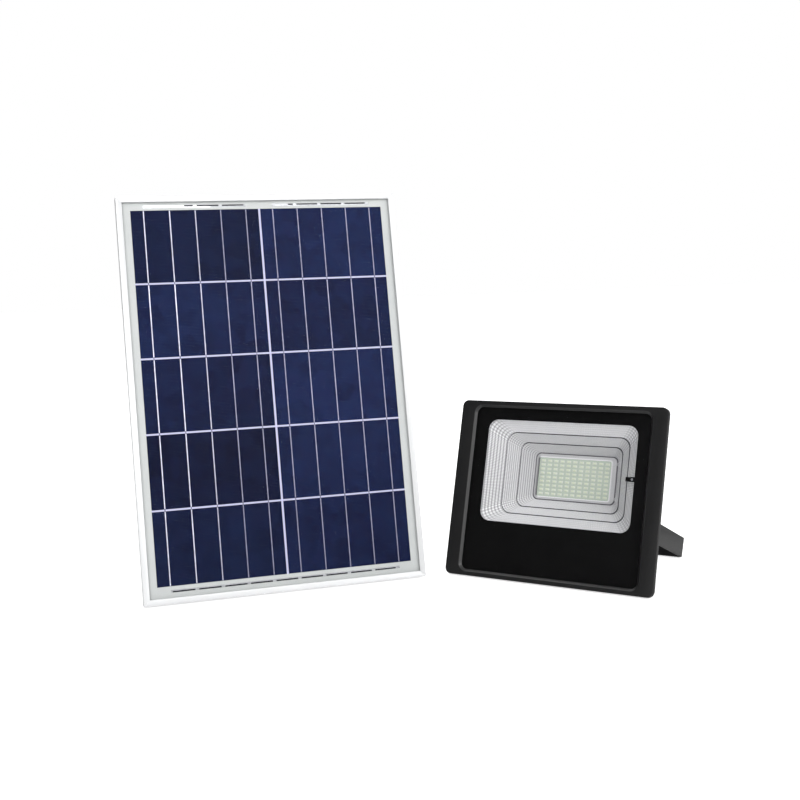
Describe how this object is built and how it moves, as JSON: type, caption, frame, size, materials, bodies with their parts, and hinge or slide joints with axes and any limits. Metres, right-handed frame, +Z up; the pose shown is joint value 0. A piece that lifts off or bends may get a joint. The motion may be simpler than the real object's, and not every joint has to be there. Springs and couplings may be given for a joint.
{
  "type": "solar flood light",
  "caption": "Solar flood light: framed solar panel and wide LED lamp head with stepped reflector, battery bay and push button, each tilting on its own U-shaped stand.",
  "frame": {"origin": "middle of the floor area that the two units cover, on the floor", "axes": "+X to the right across the panel, +Y behind the panel, +Z up"},
  "size_m": [0.6976, 0.4059, 0.4865],
  "materials": {
    "anodised": "satin anodised",
    "panel_glass": "clear low-iron glass",
    "silicon": "blue multicrystalline silicon behind glass",
    "ribbon": "tinned copper ribbon",
    "backsheet": "white laminated film",
    "seal": "grey butyl seal",
    "black_plastic": "fine-grained moulded plastic",
    "ceramic": "pale moulded terminal block",
    "zinc": "zinc-plated steel",
    "stand_steel": "dark grey coated steel strip",
    "cast_black": "black powder-coated aluminium die casting",
    "front_glass": "toughened clear glass",
    "black_print": "black ceramic print behind glass",
    "rubber": "silicone or EPDM rubber",
    "reflector": "bright vacuum-metallised",
    "led_board": "white solder mask on an aluminium-core board",
    "phosphor": "yellow-green phosphor under silicone",
    "cell_wrap": "blue shrink sleeve",
    "circuit": "green solder mask with parts",
    "button": "brushed metal"
  },
  "bodies": {
    "panel_base": {"panel_stand": "stand_steel"},
    "panel": {"frame_left": "anodised", "frame_right": "anodised", "frame_top": "anodised", "frame_bottom": "anodised", "corner_keys": "zinc", "panel_glass": "panel_glass", "cell_ribbons": "ribbon", "collector_ribbons": "ribbon", "cell_1": "silicon", "cell_2": "silicon", "cell_3": "silicon", "cell_4": "silicon", "cell_5": "silicon", "cell_6": "silicon", "cell_7": "silicon", "cell_8": "silicon", "cell_9": "silicon", "cell_10": "silicon", "backsheet": "backsheet", "panel_seal": "seal", "junction_box": "black_plastic", "junction_terminals": "ceramic", "junction_lid": "black_plastic", "junction_screws": "zinc", "junction_gland": "black_plastic", "cross_bar": "stand_steel", "hinge_lugs": "stand_steel", "bar_screws": "zinc", "panel_pivot_bolts": "zinc", "panel_pivot_nuts": "zinc", "panel_washers": "zinc"},
    "lamp_base": {"lamp_stand": "stand_steel"},
    "lamp": {"front_bezel": "cast_black", "front_glass": "front_glass", "glass_mask": "black_print", "glass_gasket": "rubber", "reflector": "reflector", "reflector_screws": "zinc", "led_board": "led_board", "led_chips": "phosphor", "board_screws": "zinc", "ir_receiver": "black_plastic", "rear_housing": "cast_black", "bezel_screws": "zinc", "battery_cell_1": "cell_wrap", "battery_cell_2": "cell_wrap", "battery_holder": "black_plastic", "controller_board": "circuit", "cover_gasket": "rubber", "battery_cover": "cast_black", "cover_screws": "zinc", "button_barrel": "button", "button_contact": "black_plastic", "lamp_gland": "black_plastic", "gland_nut": "black_plastic", "lamp_pivot_bolts": "zinc", "lamp_washers": "zinc"},
    "button": {"power_button": "button"}
  },
  "joints": [
    {"name": "panel_tilt", "type": "hinge", "parent": "panel_base", "child": "panel", "pos_m": [-0.17562, 0.0618, 0.16343], "axis": [1, 0, 0], "range_deg": [-125, 50]},
    {"name": "lamp_place", "type": "slide", "parent": "panel_base", "child": "lamp_base", "axis": [1, 0, 0], "range_m": [0, 0.3]},
    {"name": "lamp_tilt", "type": "hinge", "parent": "lamp_base", "child": "lamp", "pos_m": [0.15949, -0.06369, 0.07569], "axis": [0.6561, -0.7547, 0], "range_deg": [-88, 78]},
    {"name": "button_press", "type": "slide", "parent": "lamp", "child": "button", "axis": [-0.7255, -0.6306, 0.2756], "range_m": [0, 0.0025], "stiffness_N_per_m": 400}
  ]
}
